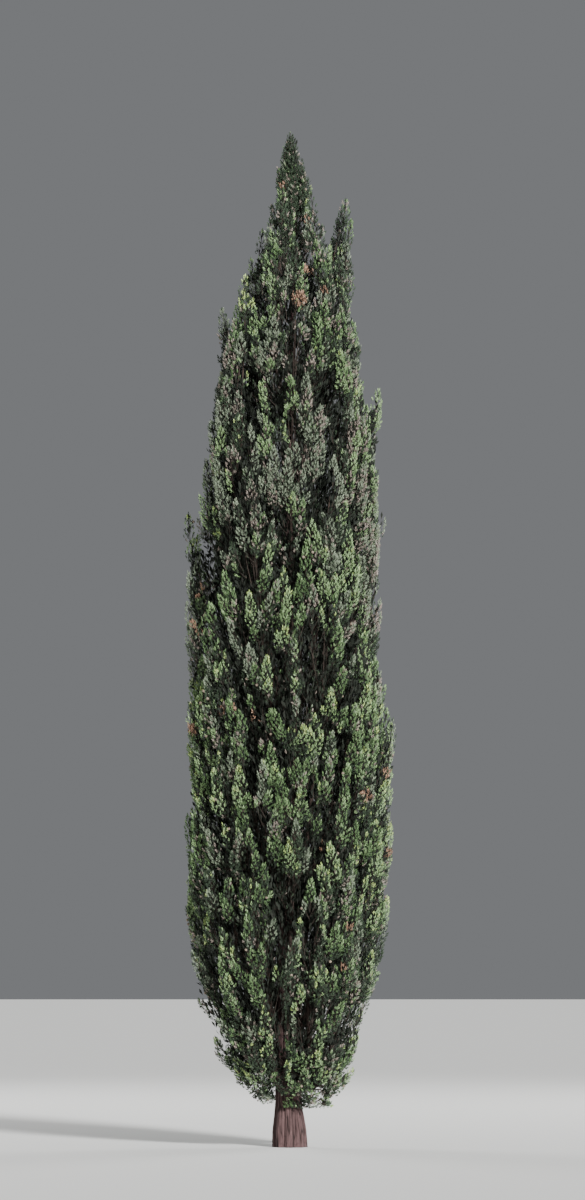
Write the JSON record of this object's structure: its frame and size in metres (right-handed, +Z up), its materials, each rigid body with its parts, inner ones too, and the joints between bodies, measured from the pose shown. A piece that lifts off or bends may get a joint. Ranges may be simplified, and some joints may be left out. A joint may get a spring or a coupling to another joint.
{
  "type": "cypress tree",
  "caption": "Full-grown columnar cypress with a fluted trunk, steep boughs and overlapping flame-shaped plumes of scale-leaf foliage, cut flat at ground level.",
  "frame": {"origin": "middle of the flat cut under the trunk, at ground level", "axes": "+Z up along the trunk, -Y towards the tree's front, +X to the right seen from the front"},
  "size_m": [2.0838, 2.064, 9.9998],
  "materials": {
    "bark": "fibrous grey-brown bark in vertical flutes and strips, matt",
    "foliage": "small scale leaves in dense upright sprays, green with yellow-green tips and grey-brown dry ones, matt"
  },
  "bodies": {
    "root": {"trunk": "bark", "lower_bough_1": "bark", "lower_bough_2": "bark", "lower_bough_3": "bark", "lower_bough_4": "bark", "lower_bough_5": "bark", "lower_bough_6": "bark", "lower_bough_7": "bark", "middle_bough_1": "bark", "middle_bough_2": "bark", "middle_bough_3": "bark", "middle_bough_4": "bark", "middle_bough_5": "bark", "middle_bough_6": "bark", "middle_bough_7": "bark", "upper_bough_1": "bark", "upper_bough_2": "bark", "upper_bough_3": "bark", "upper_bough_4": "bark", "upper_bough_5": "bark", "upper_bough_6": "bark", "upper_bough_7": "bark", "crest_bough_1": "bark", "crest_bough_2": "bark", "crest_bough_3": "bark", "crest_bough_4": "bark", "skirt_plume_1": "foliage", "skirt_plume_2": "foliage", "skirt_plume_3": "foliage", "skirt_plume_4": "foliage", "skirt_plume_5": "foliage", "skirt_plume_6": "foliage", "skirt_plume_7": "foliage", "lower_plume_1": "foliage", "lower_plume_2": "foliage", "lower_plume_3": "foliage", "lower_plume_4": "foliage", "lower_plume_5": "foliage", "lower_plume_6": "foliage", "lower_plume_7": "foliage", "middle_plume_1": "foliage", "middle_plume_2": "foliage", "middle_plume_3": "foliage", "middle_plume_4": "foliage", "middle_plume_5": "foliage", "middle_plume_6": "foliage", "middle_plume_7": "foliage", "upper_plume_1": "foliage", "upper_plume_2": "foliage", "upper_plume_3": "foliage", "upper_plume_4": "foliage", "upper_plume_5": "foliage", "upper_plume_6": "foliage", "upper_plume_7": "foliage", "crest_plume_1": "foliage", "crest_plume_2": "foliage", "crest_plume_3": "foliage", "crest_plume_4": "foliage", "leader_plume": "foliage"}
  },
  "joints": []
}
